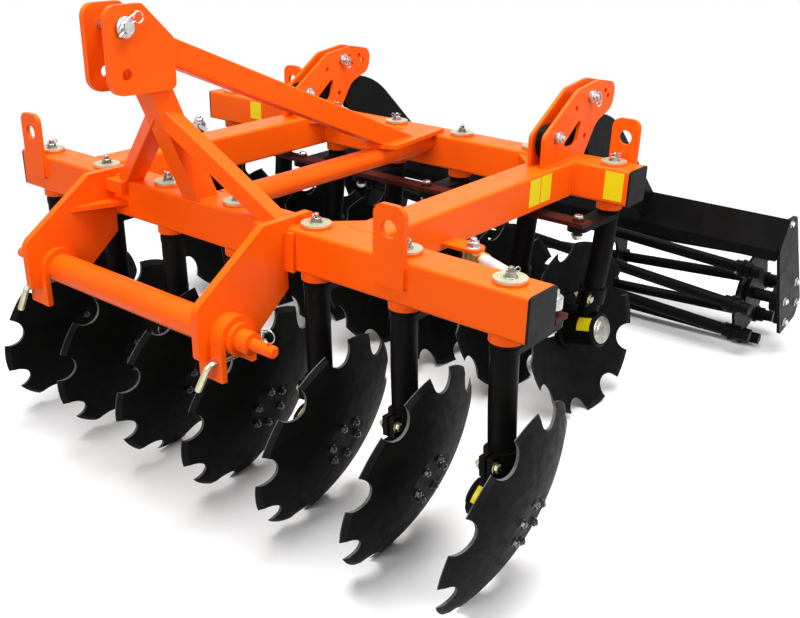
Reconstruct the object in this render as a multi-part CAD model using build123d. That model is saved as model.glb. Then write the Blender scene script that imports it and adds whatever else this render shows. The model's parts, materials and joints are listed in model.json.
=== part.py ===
"""Mounted disc harrow: two rows of notched discs on swivelling legs under a square-tube frame,
a three-point hitch in front and a tube roller behind.

Millimetres. +X is the machine's left, +Y points rearwards, +Z is up, and the ground is Z = 0.
"""
from math import atan2, cos, hypot, radians, sin, sqrt, tan
import os

from build123d import *

# Frame of square tube
BEAM = 100.0
BEAM_CORNER = 8.0
BEAM_TOP = 760.0
BEAM_MID = BEAM_TOP - BEAM / 2
BEAM_BOTTOM = BEAM_TOP - BEAM
ROW_DISTANCE = 957.0
SIDE_BEAM_X = 471.0
BEAM_OVERHANG = 72.0
END_CAP = 6.0
GUSSET_LEG = 85.0
GUSSET_THICK = 12.0

# Rows of legs, both given from the hitch's centre plane
LEGS = 7
LEG_PITCH = 257.0
FRONT_SHIFT = 114.0
REAR_SHIFT = -156.0

# Leg: spindle through the beam, bowed tube below it
SPINDLE_R = 24.0
SPINDLE_CLEARANCE = 0.05
BUSH_R = 36.0
BUSH_DROP = 25.0
BUSH_RISE = 5.0
SEAT_GAP = 0.3
WASHER_R = 35.0
WASHER_THICK = 5.0
LEG_R = 30.5
LEG_BOW = 7.0
CLAMP_R = 39.5
CLAMP_HEIGHT = 46.0
CLAMP_PLACE = 0.62
CLAMP_EAR = 22.0
CLAMP_EAR_THICK = 14.0
CLAMP_SLIT = 6.0
CLAMP_BOLT_R = 6.5
ARM_LENGTH = 175.0
ARM_THICK = 15.0
ARM_DROP = 35.0
ARM_END_R = 28.0
ARM_ROOT_R = 32.0

# Notched disc, its rim plane square to its axis
DISC_R = 260.0
DISC_DEPTH = 58.0
DISC_THICK = 6.0
DISC_EDGE = 2.0
DISC_BEVEL = 12.0
DISC_FLAT_R = 75.0
NOTCHES = 9
NOTCH_R = 42.0
NOTCH_CENTRE_R = 258.0
NOTCH_PHASES = (0.0, 6.0, -7.0, 3.0, 8.0, -4.0, -8.0)
DISC_TILT = 13.5
DISC_ATTACK = 6.0
DISC_OFFSET_X = 33.0
DISC_OFFSET_Y = -12.0

# Hub on the hollow side of the disc, measured along its axis from the rim plane
HUB_R = 51.0
HUB_BACK = 68.0
HUB_CHAMFER = 6.0
HUB_GAP = 5.0
FLANGE_R = 66.0
FLANGE_THICK = 14.0
AXLE_R = 20.0
AXLE_BACK = 40.0
AXLE_CLEARANCE = 0.05
DUST_CAP_R = 38.0
DUST_CAP_LENGTH = 8.0

# Tie bar that turns the legs of a row together
TIE_WIDTH = 50.0
TIE_THICK = 12.0
TIE_PIN_R = 10.0
TIE_PIN_CLEARANCE = 0.4
TIE_HEAD_R = 16.0
TIE_HEAD = 9.0

# Turnbuckle between the side beam and the tie bar's last pin
BRACKET_X = 123.0
BRACKET_Y = 306.0
BRACKET_THICK = 8.0
BRACKET_WIDTH = 56.0
TURNBUCKLE_DROP = 97.0
TURNBUCKLE_R = 18.0
TURNBUCKLE_ROD_R = 9.0
TURNBUCKLE_ROD_CLEARANCE = 0.3
TURNBUCKLE_TUBE = 235.0
EYE_R = 24.0
EYE_THICK = 24.0
EYE_DRIFT = 5.5
BRACKET_PIN_R = 11.0
BRACKET_PIN_CLEARANCE = 0.1

# Hitch plates, cross shaft and its lock pins
HITCH_X = 318.0
HITCH_PLATE = 20.0
HITCH_TOP = 20.0
SHAFT_Y = -245.0
SHAFT_DROP = 196.0
SHAFT_R = 37.5
SHAFT_CLEARANCE = 0.3
SHAFT_OVERHANG = 12.0
SHAFT_STEP_R = 26.0
SHAFT_STEP = 34.0
LINK_PIN_R = 14.0
LINK_PIN_LENGTH = 66.0
LINK_PIN_CHAMFER = 4.0
LINCH_HOLE_R = 6.0
LINCH_HOLE_INSET = 18.0
STRAP_THICK = 14.0
STRAP_INSIDE = 18.0
STRAP_OUTSIDE = 36.0
STRAP_FRONT_DROP = 92.0
STRAP_REAR_DROP = 70.0
LOCK_PIN_R = 8.0
LOCK_PIN_INSET = 18.0
LOCK_PIN_HANDLE = 66.0
LOCK_PIN_SWAY = 30.0
LOCK_PIN_FRONT = 22.0
LOCK_PIN_REAR = 10.0
HITCH_STOP = (64.0, 24.0, 30.0)
HITCH_GUSSET = (56.0, 140.0)
HITCH_GUSSET_DROP = 54.0
HITCH_GUSSET_THICK = 12.0
HITCH_CLEAT = (26.0, 10.0)

# Mast, clevis and top stay
MAST_TUBE = 60.0
CLEVIS_PLATE = 15.0
CLEVIS_TOP_HOLE = (-238.0, 425.0)
CLEVIS_LOW_HOLE = (-238.0, 326.0)
CLEVIS_HOLE_R = 13.0
TOP_PIN_CLEARANCE = 0.3
TOP_PIN_R = CLEVIS_HOLE_R - TOP_PIN_CLEARANCE
TOP_PIN_ENDS = (18.0, 22.0)
POST_LEAN = 23.5
STRUT_WIDTH = 50.0
STRUT_DEPTH = 40.0
STRUT_FOOT_X = 262.0
STRUT_TOP_RISE = 225.0
STAY_FOOT = (735.0, 10.0)
STAY_HEAD = (-130.0, 372.0)
CENTRE_TUBE_R = 30.0
CENTRE_PLATE = 12.0
CENTRE_PLATE_CORNERS = ((24.0, 652.0), (68.0, 678.0), (37.0, 950.0))

# Lifting lugs
LUG_WIDTH = 82.0
LUG_THICK = 12.0
LUG_TOP = 117.0
LUG_BOTTOM = -60.0
LUG_HOLE_R = 20.0
LUG_HOLE_RISE = 65.0

# Quadrants and roller arms
QUADRANT_LEFT = 471.0
QUADRANT_RIGHT = -463.0
QUADRANT_PLATE = 10.0
QUADRANT_GAP = 30.0
WASHER_RELIEF = 5.0
PIVOT = (838.0, 76.0)
PIVOT_R = 14.0
PIVOT_CLEARANCE = 0.08
STOP = (1010.0, 165.0)
STOP_R = 10.0
STOP_SLEEVE_R = 15.0
BOLT_CLEARANCE = 0.3
BOLT_HEAD_R = 17.0
BOLT_HEAD = 10.0
ADJUST_HOLE_R = 8.0
ARM_PLATE = 20.0

# Roller and its frame
ROLLER_Y = 1735.0
ROLLER_TUBE_R = 19.0
ROLLER_PITCH_R = 162.0
ROLLER_TUBES = 8
ROLLER_TWIST = 45.0
ROLLER_TUBE_X = 865.0
SPIDER_X = 805.0
SPIDERS = 4
SPIDER_R = 140.0
SPIDER_BORE_R = 62.0
SPIDER_LOBE_R = 31.0
SPIDER_THICK = 10.0
SOCKET_R = 25.0
SOCKET_LENGTH = 56.0
STUB_FLANGE_R = 80.0
STUB_R = 20.0
STUB_CLEARANCE = 0.05
SIDE_PLATE_X = 940.0
SIDE_PLATE = 10.0
BEARING_R = 46.0
BEARING_LENGTH = 44.0
BEARING_FLANGE = 128.0
BEARING_FLANGE_THICK = 14.0
DEFLECTOR_TOP = (1563.0, -238.0)
DEFLECTOR_FOOT = (1515.0, -333.0)
DEFLECTOR_LIP = 34.0
DEFLECTOR_THICK = 8.0


def at_beam(point):
    """A (Y, Z) point given from the top of the front beam, in the model's height."""
    return point[0], point[1] + BEAM_TOP


def block(x, y, z):
    """A box between two limits on each axis."""
    size = [high - low for low, high in (x, y, z)]
    return Pos(sum(x) / 2, sum(y) / 2, sum(z) / 2) * Box(*size)


def side_plate(points, thick, x, radii):
    """A plate square to X from its (Y, Z) corners, each rounded by its radius."""
    outline = FilletPolyline(*points, radius=radii, close=True)
    face = make_face(Plane.YZ * outline)
    return Pos(x, 0, 0) * extrude(face, thick / 2, both=True)


def pin_x(x, point, radius):
    """A round bar along X between two X limits, at a (Y, Z) point."""
    middle = Pos(sum(x) / 2, *point) * Rot(0, 90, 0)
    return middle * Cylinder(radius, x[1] - x[0])


def pin_y(y, x, z, radius):
    """A round bar along Y between two Y limits."""
    return Pos(x, sum(y) / 2, z) * Rot(90, 0, 0) * Cylinder(radius, y[1] - y[0])


def pin_z(z, x, y, radius):
    """A round bar along Z between two Z limits."""
    return Pos(x, y, sum(z) / 2) * Cylinder(radius, z[1] - z[0])


def bar_between(start, end, width, depth):
    """A square bar between two points, its width kept level."""
    direction = Vector(*end) - Vector(*start)
    level = Vector(0, 0, 1).cross(direction)
    plane = Plane(origin=start, x_dir=level, z_dir=direction)
    return extrude(plane * RectangleRounded(width, depth, BEAM_CORNER / 2), direction.length)


def mirrored(part):
    """The same part on the machine's right."""
    return mirror(part, about=Plane.YZ)


# Rows
def leg_places(shift):
    """X of each leg axis in a row."""
    return [shift + LEG_PITCH * (i - (LEGS - 1) / 2) for i in range(LEGS)]


ROWS = {
    "front": {"y": 0.0, "side": 1, "legs": leg_places(FRONT_SHIFT)},
    "rear": {"y": ROW_DISTANCE, "side": -1, "legs": leg_places(REAR_SHIFT)},
}


# Frame
def cross_beam(row):
    """Square tube across the machine with a bush for each leg's spindle."""
    y = row["y"]
    low = row["legs"][0] - BEAM_OVERHANG
    high = row["legs"][-1] + BEAM_OVERHANG
    section = Plane(origin=(low, y, BEAM_MID), x_dir=(0, 1, 0), z_dir=(1, 0, 0))
    beam = extrude(section * RectangleRounded(BEAM, BEAM, BEAM_CORNER), high - low)
    for x in row["legs"]:
        beam += pin_z((BEAM_BOTTOM - BUSH_DROP, BEAM_TOP + BUSH_RISE), x, y, BUSH_R)
    for x in row["legs"]:
        beam -= pin_z((0, 2 * BEAM_TOP), x, y, SPINDLE_R + SPINDLE_CLEARANCE)
    return beam


def beam_end_caps():
    """Plugs that close the four beam ends."""
    caps = []
    for row in ROWS.values():
        ends = (row["legs"][0] - BEAM_OVERHANG - END_CAP, row["legs"][-1] + BEAM_OVERHANG)
        for x in ends:
            plane = Plane(origin=(x, row["y"], BEAM_MID), x_dir=(0, 1, 0), z_dir=(1, 0, 0))
            caps.append(extrude(plane * RectangleRounded(BEAM, BEAM, BEAM_CORNER), END_CAP))
    return caps


def side_beam():
    """Square tube between the two cross beams, on the machine's left."""
    start = (SIDE_BEAM_X, BEAM / 2, BEAM_MID)
    plane = Plane(origin=start, x_dir=(1, 0, 0), z_dir=(0, 1, 0))
    return extrude(plane * RectangleRounded(BEAM, BEAM, BEAM_CORNER), ROW_DISTANCE - BEAM)


def corner_gussets():
    """Flat triangles in the inner corners of the frame."""
    gussets = []
    inner = SIDE_BEAM_X - BEAM / 2
    for side in (1, -1):
        for y, inward in ((BEAM / 2, 1), (ROW_DISTANCE - BEAM / 2, -1)):
            corner = (side * inner, y)
            along_x = (side * (inner - GUSSET_LEG), y)
            along_y = (side * inner, y + inward * GUSSET_LEG)
            face = make_face(Polyline(corner, along_x, along_y, close=True))
            middle = BEAM_TOP - BEAM_CORNER - GUSSET_THICK / 2
            gussets.append(Pos(0, 0, middle) * extrude(face, GUSSET_THICK / 2, both=True))
    return gussets


def centre_tube():
    """Round tube along the middle of the frame."""
    span = (BEAM / 2, ROW_DISTANCE - BEAM / 2)
    return pin_y(span, 0, BEAM_TOP - CENTRE_TUBE_R, CENTRE_TUBE_R)


def centre_plate():
    """Tapered plate over the rear end of the centre tube."""
    corners = CENTRE_PLATE_CORNERS
    outline = corners + tuple((-x, y) for x, y in reversed(corners))
    face = make_face(Polyline(*outline, close=True))
    return Pos(0, 0, BEAM_TOP) * extrude(face, CENTRE_PLATE)


def lifting_lug(x, face_y, outward):
    """Upright lug welded on a beam's outer face."""
    half = LUG_WIDTH / 2
    corners = ((-half, LUG_BOTTOM), (half, LUG_BOTTOM), (half, LUG_TOP), (-half, LUG_TOP))
    outline = FilletPolyline(*corners, radius=[4, 4, 0.6 * half, 0.6 * half], close=True)
    plane = Plane(origin=(x, face_y, BEAM_TOP), x_dir=(1, 0, 0), z_dir=(0, -1, 0))
    lug = extrude(plane * make_face(outline), -outward * LUG_THICK)
    reach = (face_y - 2 * LUG_THICK, face_y + 2 * LUG_THICK)
    return lug - pin_y(reach, x, BEAM_TOP + LUG_HOLE_RISE, LUG_HOLE_R)


def lifting_lugs():
    """A lug near each corner of the frame, over a leg."""
    front, rear = ROWS["front"], ROWS["rear"]
    face = BEAM / 2
    return [
        lifting_lug(front["legs"][0], -face, -1),
        lifting_lug(front["legs"][-2], -face, -1),
        lifting_lug(rear["legs"][1], ROW_DISTANCE + face, 1),
        lifting_lug(rear["legs"][-1], ROW_DISTANCE + face, 1),
    ]


# Hitch
SHAFT_Z = BEAM_TOP - SHAFT_DROP
STRAP_BORE = SHAFT_R + SHAFT_CLEARANCE
STRAP_OUTER = STRAP_BORE + STRAP_THICK
LOCK_PIN_Z = SHAFT_Z - SHAFT_R - LOCK_PIN_R - SHAFT_CLEARANCE
HITCH_INSIDE = HITCH_X - HITCH_PLATE / 2
HITCH_OUTSIDE = HITCH_X + HITCH_PLATE / 2
STRAP_SPAN = (HITCH_INSIDE - STRAP_INSIDE, HITCH_OUTSIDE + STRAP_OUTSIDE)
LOCK_PIN_X = STRAP_SPAN[1] - LOCK_PIN_INSET


def shaft_strap(width):
    """Inverted U that takes the cross shaft from below, with legs for its lock pin."""
    strap = pin_x(width, (SHAFT_Y, SHAFT_Z), STRAP_OUTER)
    front = (SHAFT_Y - STRAP_OUTER, SHAFT_Y)
    rear = (SHAFT_Y, SHAFT_Y + STRAP_OUTER)
    strap += block(width, front, (SHAFT_Z - STRAP_FRONT_DROP, SHAFT_Z))
    strap += block(width, rear, (SHAFT_Z - STRAP_REAR_DROP, SHAFT_Z))
    return strap


def hitch_plate():
    """Hitch plate on the machine's left: it hooks over the front beam and carries the strap."""
    face = -BEAM / 2
    corners = [
        at_beam(point)
        for point in (
            (BEAM * 0.4, 0), (BEAM * 0.4, HITCH_TOP), (-123, HITCH_TOP), (-328, -116),
            (-328, -238), (-165, -238), (face, -148), (face, 0),
        )
    ]
    plate = side_plate(corners, HITCH_PLATE, HITCH_X, [2, 14, 12, 34, 12, 12, 3, 1])
    plate += shaft_strap(STRAP_SPAN)
    slot = (SHAFT_Y - STRAP_BORE, SHAFT_Y + STRAP_BORE)
    reach = (STRAP_SPAN[0] - STRAP_THICK, STRAP_SPAN[1] + STRAP_THICK)
    plate -= pin_x(reach, (SHAFT_Y, SHAFT_Z), STRAP_BORE)
    plate -= block(reach, slot, (SHAFT_Z - 2 * STRAP_FRONT_DROP, SHAFT_Z))
    legs = (SHAFT_Y - 2 * STRAP_OUTER, SHAFT_Y + 2 * STRAP_OUTER)
    plate -= pin_y(legs, LOCK_PIN_X, LOCK_PIN_Z, LOCK_PIN_R + SHAFT_CLEARANCE)
    stop_width, stop_depth, stop_height = HITCH_STOP
    plate += block(
        (HITCH_INSIDE - stop_width, HITCH_INSIDE),
        (face - stop_depth, face),
        (BEAM_TOP - stop_height, BEAM_TOP),
    )
    cleat_width, cleat_thick = HITCH_CLEAT
    plate += block(
        (HITCH_OUTSIDE, HITCH_OUTSIDE + cleat_width),
        (face - cleat_thick, face),
        (BEAM_BOTTOM, BEAM_TOP - BEAM_CORNER),
    )
    along_beam, along_plate = HITCH_GUSSET
    corner = (HITCH_INSIDE, face)
    tips = (HITCH_INSIDE - along_beam, face), (HITCH_INSIDE, face - along_plate)
    gusset = make_face(Polyline(corner, *tips, close=True))
    gusset_low = BEAM_TOP - HITCH_GUSSET_DROP - HITCH_GUSSET_THICK
    return plate + Pos(0, 0, gusset_low) * extrude(gusset, HITCH_GUSSET_THICK)


def cross_shaft():
    """Round shaft between the hitch plates with a stepped lower-link pin at each end."""
    shoulder = STRAP_SPAN[1] + SHAFT_OVERHANG
    step = shoulder + SHAFT_STEP
    tip = step + LINK_PIN_LENGTH
    place = (SHAFT_Y, SHAFT_Z)
    shaft = pin_x((-shoulder, shoulder), place, SHAFT_R)
    shaft += pin_x((-step, step), place, SHAFT_STEP_R)
    ends = pin_x((-tip, tip), place, LINK_PIN_R)
    tips = ends.faces().filter_by(Axis.X)
    shaft += chamfer(tips.edges(), LINK_PIN_CHAMFER)
    for side in (1, -1):
        x = side * (tip - LINCH_HOLE_INSET)
        shaft -= pin_z((SHAFT_Z - 2 * LINK_PIN_R, SHAFT_Z + 2 * LINK_PIN_R), x, SHAFT_Y, LINCH_HOLE_R)
    return shaft


def shaft_lock_pin(x):
    """Bent pin through the strap's legs, its handle hanging askew in front."""
    front = SHAFT_Y - STRAP_OUTER - LOCK_PIN_FRONT
    rear = SHAFT_Y + STRAP_OUTER + LOCK_PIN_REAR
    handle_foot = (x - LOCK_PIN_SWAY, front - LOCK_PIN_R, LOCK_PIN_Z - LOCK_PIN_HANDLE)
    path = FilletPolyline((x, rear, LOCK_PIN_Z), (x, front, LOCK_PIN_Z), handle_foot, radius=14)
    profile = Plane(origin=path @ 0, z_dir=path % 0) * Circle(LOCK_PIN_R)
    return sweep(profile, path=path)


# Mast
def mast_post():
    """Square post that leans forward from the front beam to the clevis."""
    half = MAST_TUBE / 2
    front_foot = -BEAM / 2
    top = CLEVIS_LOW_HOLE[1] + 40
    lean = tan(radians(POST_LEAN))
    depth = MAST_TUBE / cos(radians(POST_LEAN))
    corners = [
        at_beam(point)
        for point in (
            (front_foot, 0), (front_foot - top * lean, top),
            (front_foot - top * lean + depth, top), (front_foot + depth, 0),
        )
    ]
    return side_plate(corners, 2 * half, 0, 1)


def clevis_plate(x):
    """One of the two plates that hold the top-link pin."""
    corners = [
        at_beam(point)
        for point in ((-283, 284), (-283, 470), (-186, 470), (-105, 392), (-105, 280), (-150, 280))
    ]
    plate = side_plate(corners, CLEVIS_PLATE, x, [34, 30, 14, 10, 16, 20])
    for hole in (CLEVIS_TOP_HOLE, CLEVIS_LOW_HOLE):
        plate -= pin_x((x - CLEVIS_PLATE, x + CLEVIS_PLATE), at_beam(hole), CLEVIS_HOLE_R)
    return plate


CLEVIS_X = MAST_TUBE / 2 + CLEVIS_PLATE / 2


def top_stay(post):
    """Square tube from the clevis down to the centre plate."""
    foot = (0, STAY_FOOT[0], STAY_FOOT[1] + BEAM_TOP)
    head = (0, STAY_HEAD[0], STAY_HEAD[1] + BEAM_TOP)
    direction = (Vector(*foot) - Vector(*head)).normalized()
    far = Vector(*foot) + direction * 2 * MAST_TUBE
    stay = bar_between(head, tuple(far), MAST_TUBE, MAST_TUBE)
    floor = BEAM_TOP + CENTRE_PLATE
    stay -= block((-MAST_TUBE, MAST_TUBE), (0, 2 * ROW_DISTANCE), (0, floor))
    return stay - post


def mast_struts(post):
    """Two side struts from the post down to the hitch plates."""
    lean = tan(radians(POST_LEAN))
    head = (0, -BEAM / 2 - STRUT_TOP_RISE * lean + MAST_TUBE / 2, BEAM_TOP + STRUT_TOP_RISE)
    struts = []
    for side in (1, -1):
        foot = Vector(side * STRUT_FOOT_X, -BEAM / 4, BEAM_TOP)
        past = foot + (foot - Vector(*head)).normalized() * BEAM / 2
        strut = bar_between(head, tuple(past), STRUT_WIDTH, STRUT_DEPTH)
        strut -= block((-BEAM * 5, BEAM * 5), (-BEAM * 3, BEAM * 3), (0, BEAM_TOP))
        strut -= block(
            sorted((side * HITCH_INSIDE, side * 2 * HITCH_X)),
            (-BEAM * 3, BEAM * 3),
            (0, 2 * BEAM_TOP),
        )
        struts.append(strut - post)
    return struts


def top_link_pin():
    """Pin through the upper clevis hole with a collar at each side."""
    outer = CLEVIS_X + CLEVIS_PLATE / 2
    place = at_beam(CLEVIS_TOP_HOLE)
    pin = pin_x((-outer - TOP_PIN_ENDS[0], outer + TOP_PIN_ENDS[1]), place, TOP_PIN_R)
    for side in (1, -1):
        near = side * (outer + SEAT_GAP)
        pin += pin_x(sorted((near, near + side * 6)), place, 1.7 * TOP_PIN_R)
    return pin


# Legs, discs and their row linkage
def disc_axis(side):
    """Unit vector along a disc's axis, from the hollow side to the bulging side."""
    attack = radians(DISC_ATTACK)
    tilt = radians(DISC_TILT)
    return Vector(side * cos(attack) * cos(tilt), sin(attack) * cos(tilt), -sin(tilt))


DISC_Z = DISC_R * cos(radians(DISC_TILT)) + DISC_EDGE * sin(radians(DISC_TILT))


def disc_plane(side):
    """Plane at the middle of a disc's rim, its normal along the disc's axis, from its leg's axis."""
    centre = (side * DISC_OFFSET_X, DISC_OFFSET_Y, DISC_Z)
    axis = disc_axis(side)
    down = Vector(0, 0, -1)
    return Plane(origin=centre, x_dir=down - axis * down.dot(axis), z_dir=axis)


DISH_R = (DISC_R ** 2 + DISC_DEPTH ** 2) / (2 * DISC_DEPTH)
DISH_CENTRE = DISC_DEPTH - DISH_R


def dish_height(radius, offset):
    """Height of the dish over the rim plane at a radius, on a surface offset outwards."""
    return DISH_CENTRE + sqrt((DISH_R + offset) ** 2 - radius ** 2)


FLAT_HEIGHT = dish_height(DISC_FLAT_R, 0)


def disc(phase):
    """Notched disc with its hub flange and axle, on its own axis with the rim plane at 0."""
    bevel_r = DISC_R - DISC_BEVEL
    mid_r = (bevel_r + DISC_FLAT_R) / 2
    hollow = ThreePointArc(
        (DISC_R, 0), (mid_r, dish_height(mid_r, 0)), (DISC_FLAT_R, FLAT_HEIGHT))
    bulge = ThreePointArc(
        (DISC_FLAT_R, FLAT_HEIGHT + DISC_THICK),
        (mid_r, dish_height(mid_r, DISC_THICK)),
        (bevel_r, dish_height(bevel_r, DISC_THICK)),
    )
    centre = Polyline(
        hollow @ 1, (FLANGE_R, FLAT_HEIGHT), (FLANGE_R, FLAT_HEIGHT - FLANGE_THICK),
        (AXLE_R, FLAT_HEIGHT - FLANGE_THICK), (AXLE_R, -AXLE_BACK), (0, -AXLE_BACK),
        (0, FLAT_HEIGHT + DISC_THICK), bulge @ 0,
    )
    edge = Polyline(bulge @ 1, (DISC_R, DISC_EDGE), (DISC_R, 0))
    profile = make_face(Plane.XZ * (hollow + centre + bulge + edge))
    body = revolve(profile, Axis.Z)
    cut = extrude(Circle(NOTCH_R), 3 * DISC_DEPTH, both=True)
    for i in range(NOTCHES):
        turn = 360 / NOTCHES * (i + 0.5) + phase
        body -= Rot(0, 0, turn) * Pos(NOTCH_CENTRE_R, 0, 0) * cut
    return body


def leg_clamp(path):
    """Split clamp round the leg's foot, its two ears in front with the bolt's hole."""
    down = path % CLAMP_PLACE
    across = Vector(0, -1, 0)
    plane = Plane(origin=path @ CLAMP_PLACE, x_dir=across - down * across.dot(down), z_dir=down)
    reach = CLAMP_R + CLAMP_EAR
    ears = 2 * CLAMP_EAR_THICK + CLAMP_SLIT
    outline = Circle(CLAMP_R) + Pos(reach / 2, 0) * Rectangle(reach, ears)
    slit = Pos(reach / 2, 0) * Rectangle(reach, CLAMP_SLIT)
    clamp = extrude(outline - slit, CLAMP_HEIGHT)
    bolt = pin_y((-ears, ears), CLAMP_R + CLAMP_EAR / 2, CLAMP_HEIGHT / 2, CLAMP_BOLT_R)
    return plane.location * (clamp - bolt)


def leg(side):
    """Leg with its spindle, top washer, tie arm, clamp and hub housing, on its own axis."""
    hub = disc_plane(side)
    washer_base = BEAM_TOP + BUSH_RISE + SEAT_GAP
    collar = BEAM_BOTTOM - BUSH_DROP - SEAT_GAP
    body = pin_z((collar - LEG_R, washer_base + WASHER_THICK), 0, 0, SPINDLE_R)
    body += pin_z((washer_base, washer_base + WASHER_THICK), 0, 0, WASHER_R)

    foot = hub.origin
    top = Vector(0, 0, collar - BUSH_DROP / 2)
    middle = (top + foot) / 2
    bow = Vector(foot.X, foot.Y, 0).normalized() * -LEG_BOW
    path = ThreePointArc(top, middle + bow, foot)
    body += sweep(Plane(origin=path @ 0, z_dir=path % 0) * Circle(LEG_R), path=path)
    body += pin_z((collar - BUSH_DROP, collar), 0, 0, LEG_R)
    body += leg_clamp(path)

    arm_top = collar - ARM_DROP + BUSH_DROP
    arm_low = arm_top - ARM_THICK
    eye_y = side * ARM_LENGTH
    body += pin_z((arm_low, arm_top), 0, eye_y, ARM_END_R)
    body += pin_z((arm_low, arm_top), 0, 0, ARM_ROOT_R)
    corners = (-ARM_ROOT_R, 0), (-ARM_END_R, eye_y), (ARM_END_R, eye_y), (ARM_ROOT_R, 0)
    web = make_face(Polyline(*corners, close=True))
    body += Pos(0, 0, arm_low) * extrude(web, ARM_THICK)
    body -= pin_z((arm_low - 1, arm_top + 1), 0, eye_y, TIE_PIN_R + TIE_PIN_CLEARANCE)

    face = FLAT_HEIGHT - FLANGE_THICK - HUB_GAP
    housing = Pos(0, 0, (face - HUB_BACK) / 2) * Cylinder(HUB_R, face + HUB_BACK)
    back = housing.faces().sort_by(Axis.Z)[0]
    housing = chamfer(back.edges(), HUB_CHAMFER)
    cap = Pos(0, 0, -HUB_BACK - DUST_CAP_LENGTH / 2)
    housing += cap * Cone(DUST_CAP_R - DUST_CAP_LENGTH, DUST_CAP_R, DUST_CAP_LENGTH)
    body += hub.location * housing
    bore = pin_z((-AXLE_BACK - HUB_GAP, face + 1), 0, 0, AXLE_R + AXLE_CLEARANCE)
    clear = Pos(0, 0, face + DISC_DEPTH) * Cylinder(FLANGE_R + DISC_DEPTH, 2 * DISC_DEPTH)
    return body - hub.location * bore - hub.location * clear


ARM_TOP = BEAM_BOTTOM - SEAT_GAP - ARM_DROP
TIE_TOP = ARM_TOP + SEAT_GAP + TIE_THICK


def tie_bar(row):
    """Flat bar over the arms of a row with a pin in each arm."""
    y = row["y"] + row["side"] * ARM_LENGTH
    reach = (row["legs"][0] - ARM_END_R, row["legs"][-1] + ARM_END_R)
    bar = block(reach, (y - TIE_WIDTH / 2, y + TIE_WIDTH / 2), (TIE_TOP - TIE_THICK, TIE_TOP))
    pin_foot = ARM_TOP - ARM_THICK - 12
    last = max(row["legs"], key=lambda x: row["side"] * x)
    for x in row["legs"]:
        bar += pin_z((pin_foot, TIE_TOP), x, y, TIE_PIN_R)
        bar += pin_z((TIE_TOP, TIE_TOP + TIE_HEAD), x, y, TIE_HEAD_R)
    bar += pin_z((TIE_TOP, BEAM_TOP - TURNBUCKLE_DROP + EYE_THICK), last, y, TIE_PIN_R)
    return bar


def turnbuckle_ends(row):
    """(X, Y) of the bracket's pin and of the tie bar's last pin."""
    side = row["side"]
    last = max(row["legs"], key=lambda x: side * x)
    bracket_y = row["y"] + side * BRACKET_Y
    bracket_x = side * (SIDE_BEAM_X + BRACKET_X)
    return (bracket_x, bracket_y), (last, row["y"] + side * ARM_LENGTH)


TURNBUCKLE_Z = BEAM_TOP - TURNBUCKLE_DROP


def turnbuckle_plane(row):
    """Plane at the bracket's pin with X along the turnbuckle."""
    start, end = turnbuckle_ends(row)
    along = (end[0] - start[0], end[1] - start[1], 0)
    return Plane(origin=(*start, TURNBUCKLE_Z), x_dir=along, z_dir=(0, 0, 1))


def turnbuckle_length(row):
    """Distance between the turnbuckle's two pins."""
    start, end = turnbuckle_ends(row)
    return hypot(end[0] - start[0], end[1] - start[1])


def turnbuckle_body(row):
    """Eye on the bracket's pin and the threaded sleeve."""
    body = Cylinder(EYE_R, EYE_THICK)
    neck = BRACKET_WIDTH / 2 + EYE_THICK / 2
    body += block((0, neck), (-TURNBUCKLE_R, TURNBUCKLE_R), (-EYE_THICK / 2, EYE_THICK / 2))
    body += pin_x((neck, TURNBUCKLE_TUBE), (0, 0), TURNBUCKLE_R)
    body -= Cylinder(BRACKET_PIN_R + BRACKET_PIN_CLEARANCE, 2 * EYE_THICK)
    bore = (neck + 10, TURNBUCKLE_TUBE + 1)
    body -= pin_x(bore, (0, 0), TURNBUCKLE_ROD_R + TURNBUCKLE_ROD_CLEARANCE)
    return turnbuckle_plane(row).location * body


def turnbuckle_rod(row):
    """Threaded rod in the sleeve with an eye round the tie bar's last pin."""
    length = turnbuckle_length(row)
    rod = Pos(length, 0, 0) * Cylinder(EYE_R, EYE_THICK)
    rod += pin_x((0.36 * length, length), (0, 0), TURNBUCKLE_ROD_R)
    rod -= Pos(length, 0, 0) * Cylinder(TIE_PIN_R + EYE_DRIFT, 2 * EYE_THICK)
    return turnbuckle_plane(row).location * rod


def turnbuckle_bracket(row):
    """Flat bracket on the side beam's outer face with the turnbuckle's pin."""
    (x, y), _ = turnbuckle_ends(row)
    wall = row["side"] * (SIDE_BEAM_X + BEAM / 2)
    low = TURNBUCKLE_Z + EYE_THICK / 2 + SEAT_GAP
    end = x + row["side"] * BRACKET_WIDTH / 2
    plate = block(sorted((wall, x)), (y - BRACKET_WIDTH / 2, y + BRACKET_WIDTH / 2),
                  (low, low + BRACKET_THICK))
    plate += pin_z((low, low + BRACKET_THICK), x, y, abs(end - x))
    plate += pin_z((TURNBUCKLE_Z - EYE_THICK, low), x, y, BRACKET_PIN_R)
    return plate


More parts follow.
